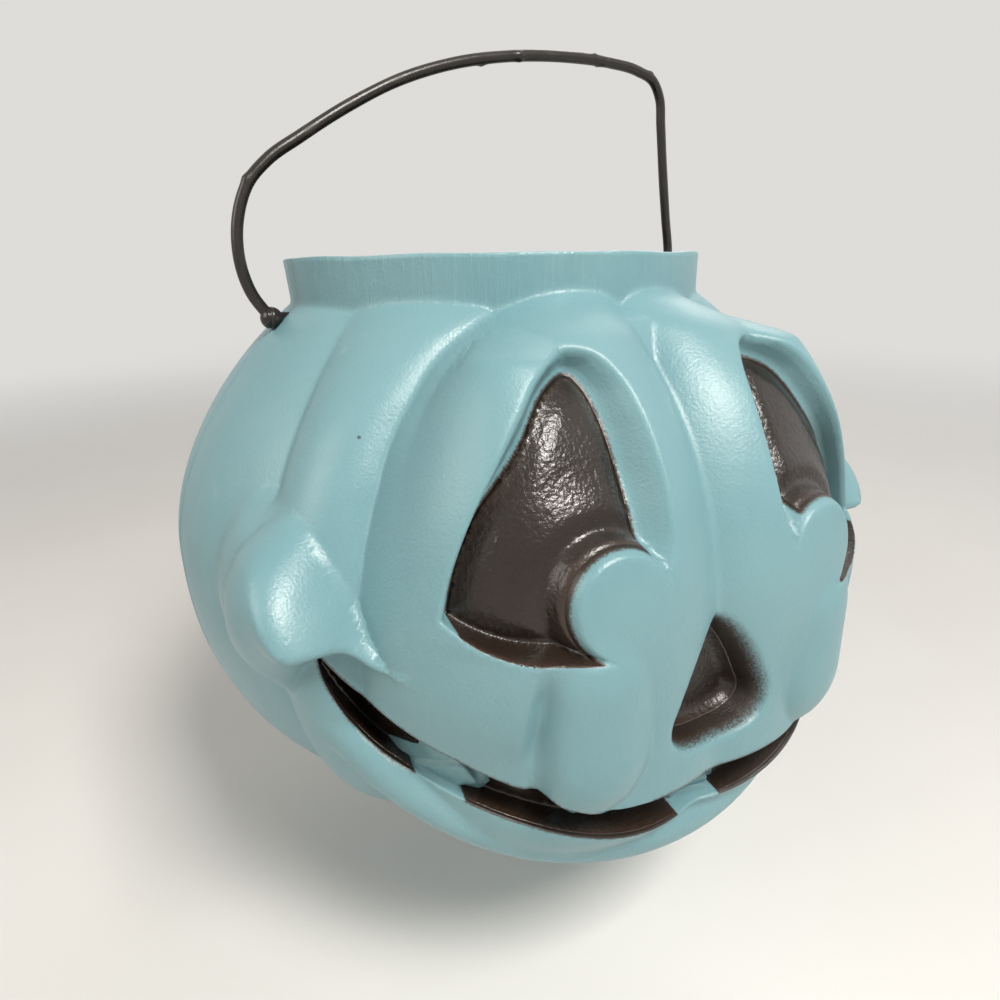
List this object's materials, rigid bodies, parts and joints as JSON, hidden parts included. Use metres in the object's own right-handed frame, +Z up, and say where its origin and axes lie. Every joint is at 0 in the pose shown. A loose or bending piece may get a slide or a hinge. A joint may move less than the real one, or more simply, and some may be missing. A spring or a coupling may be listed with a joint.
{
  "type": "pumpkin candy pail",
  "caption": "Blow-moulded pumpkin-shaped plastic pail with a carved smiling face, painted recesses, an open trimmed collar and a swinging bail handle",
  "frame": {"origin": "middle of the flat base, on the plane that the pail stands on", "axes": "+Z up along the collar's axis, the face looks along -Y, and the handle hinge runs along X"},
  "size_m": [0.2296, 0.2342, 0.2535],
  "materials": {
    "shell": "pale teal semi-gloss polyethylene with a fine pebbled skin",
    "handle": "black semi-matte moulded plastic rod",
    "button": "black glossy moulded plastic",
    "paint": "glossy black sprayed paint with an orange-peel skin"
  },
  "bodies": {
    "pail": {"pail_shell": "shell", "eye_paint_left": "paint", "eye_paint_right": "paint", "nose_paint": "paint", "mouth_paint": "paint"},
    "handle": {"handle_rod": "handle", "handle_button_left": "button", "handle_button_right": "button"}
  },
  "joints": [
    {"name": "handle_swing", "type": "hinge", "parent": "pail", "child": "handle", "pos_m": [0, 0, 0.1686], "axis": [1, 0, 0], "range_deg": [-85, 85]}
  ]
}
